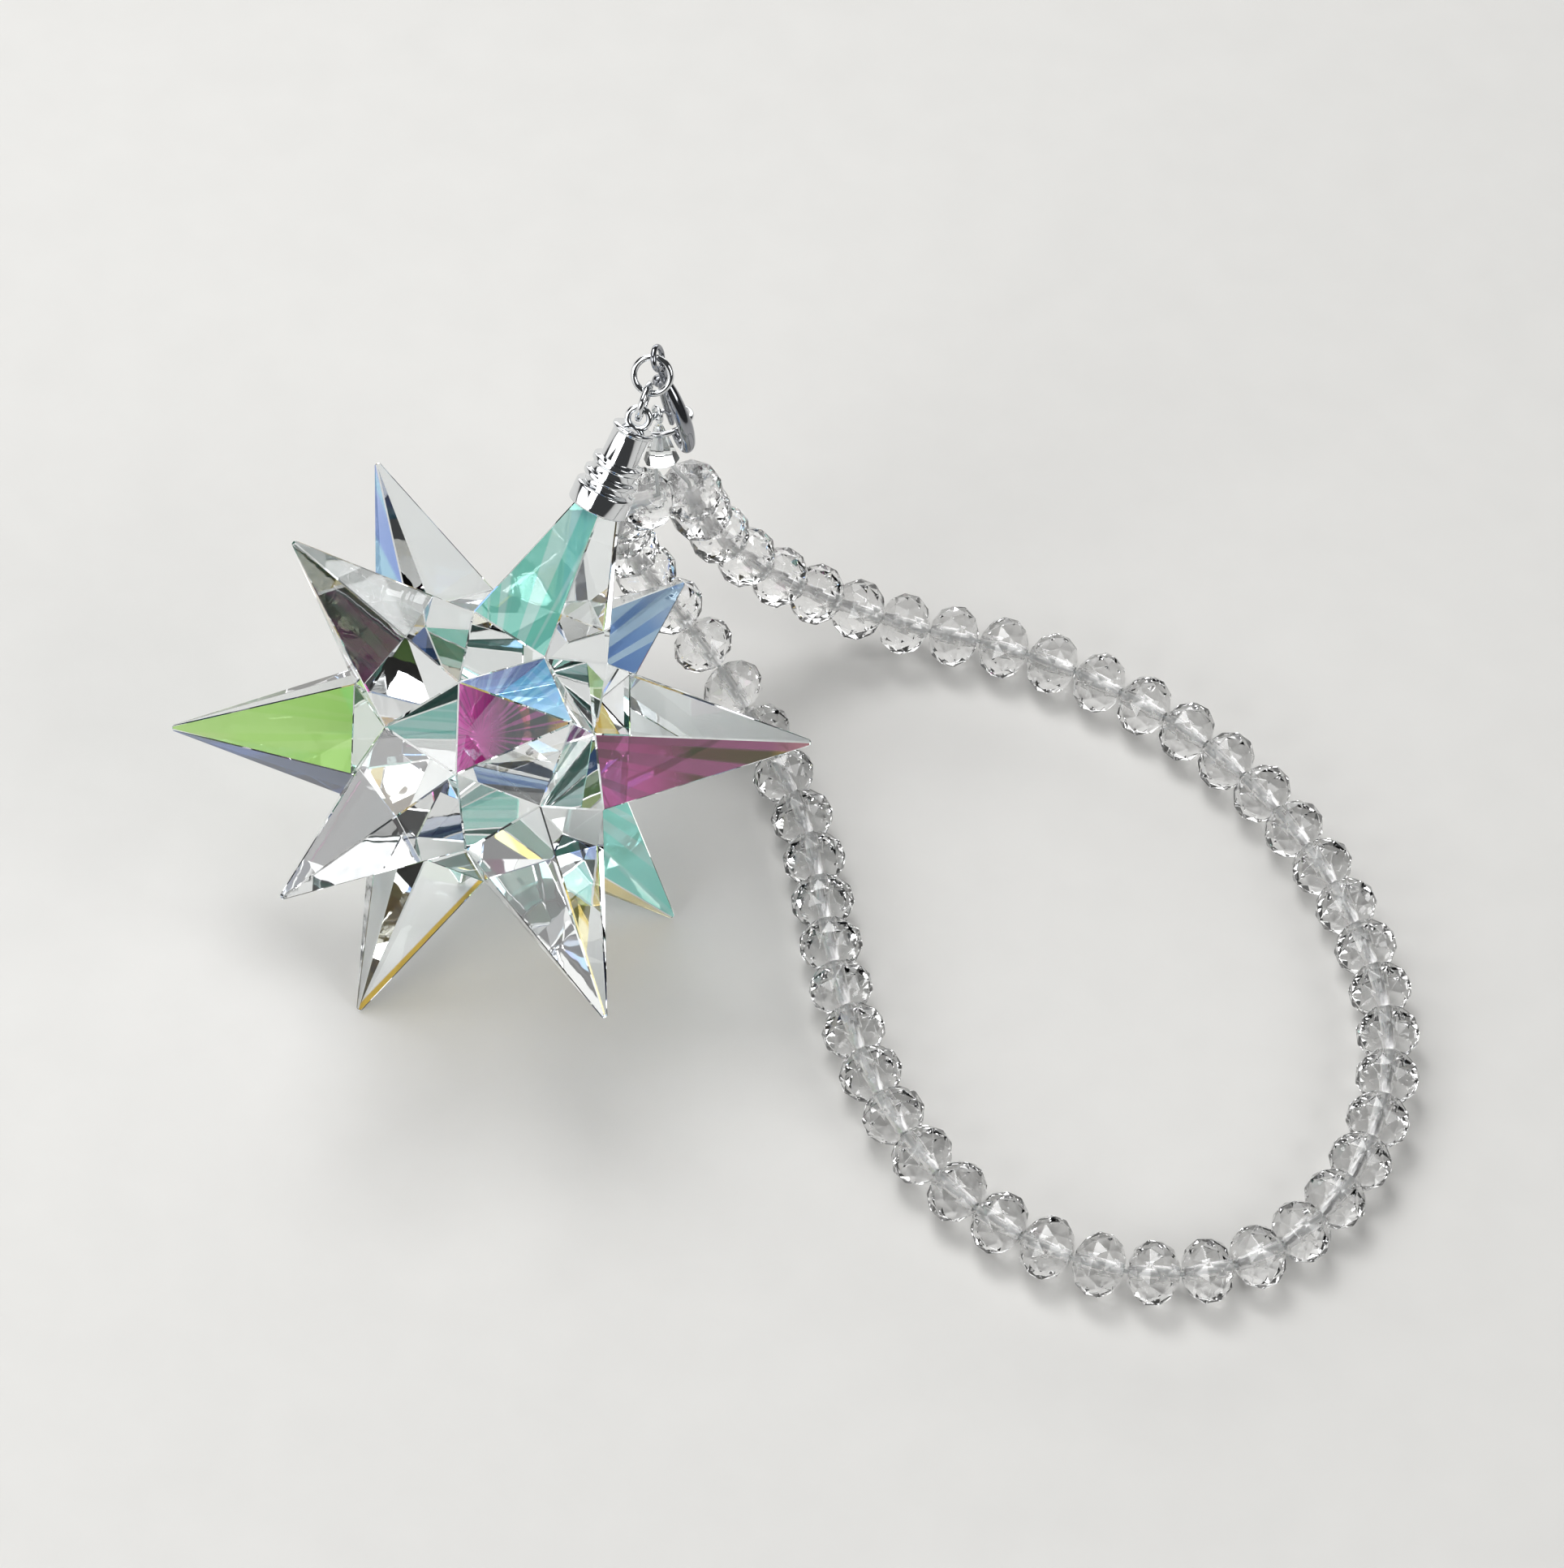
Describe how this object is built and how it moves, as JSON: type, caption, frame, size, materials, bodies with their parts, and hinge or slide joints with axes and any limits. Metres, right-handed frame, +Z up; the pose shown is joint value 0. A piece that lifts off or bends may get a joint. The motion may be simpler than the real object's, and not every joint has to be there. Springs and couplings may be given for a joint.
{
  "type": "crystal suncatcher",
  "caption": "Clear spiked crystal star with a chrome cap, rings and a lobster clasp, on a looped strand of clear faceted beads for hanging it in a window.",
  "frame": {"origin": "on the surface it lies on, under the middle of the part's box", "axes": "+X from the star towards the far end of the bead loop, +Y away from the viewer of the picture, +Z up"},
  "size_m": [0.1558, 0.102, 0.0744],
  "materials": {
    "crystal": "polished facets with an iridescent coating on some",
    "bead_crystal": "polished facets",
    "cone_crystal": "polished",
    "chrome": "polished plate",
    "ring_wire": "polished plate",
    "clasp_metal": "polished plate",
    "nylon": "clear line"
  },
  "bodies": {
    "root": {"star": "crystal", "cap": "chrome", "jump_ring_1": "ring_wire", "jump_ring_2": "ring_wire", "clasp_body": "clasp_metal", "clasp_lever": "clasp_metal", "end_ring": "ring_wire", "cone_eye": "ring_wire", "cone": "cone_crystal", "line": "nylon", "bead_pair_01": "bead_crystal", "bead_pair_02": "bead_crystal", "bead_pair_03": "bead_crystal", "bead_pair_04": "bead_crystal", "bead_05": "bead_crystal", "bead_06": "bead_crystal", "bead_07": "bead_crystal", "bead_08": "bead_crystal", "bead_09": "bead_crystal", "bead_10": "bead_crystal", "bead_11": "bead_crystal", "bead_12": "bead_crystal", "bead_13": "bead_crystal", "bead_14": "bead_crystal", "bead_15": "bead_crystal", "bead_16": "bead_crystal", "bead_17": "bead_crystal", "bead_18": "bead_crystal", "bead_19": "bead_crystal", "bead_20": "bead_crystal", "bead_21": "bead_crystal", "bead_22": "bead_crystal", "bead_23": "bead_crystal", "bead_24": "bead_crystal", "bead_25": "bead_crystal", "bead_26": "bead_crystal", "bead_27": "bead_crystal", "bead_28": "bead_crystal", "bead_29": "bead_crystal", "bead_30": "bead_crystal", "bead_31": "bead_crystal", "bead_32": "bead_crystal", "bead_33": "bead_crystal", "bead_34": "bead_crystal", "bead_35": "bead_crystal", "bead_36": "bead_crystal", "bead_37": "bead_crystal", "bead_38": "bead_crystal", "bead_39": "bead_crystal", "bead_40": "bead_crystal", "bead_41": "bead_crystal", "bead_42": "bead_crystal", "bead_43": "bead_crystal", "bead_44": "bead_crystal", "bead_45": "bead_crystal", "bead_46": "bead_crystal", "bead_47": "bead_crystal", "bead_48": "bead_crystal", "bead_49": "bead_crystal"}
  },
  "joints": []
}
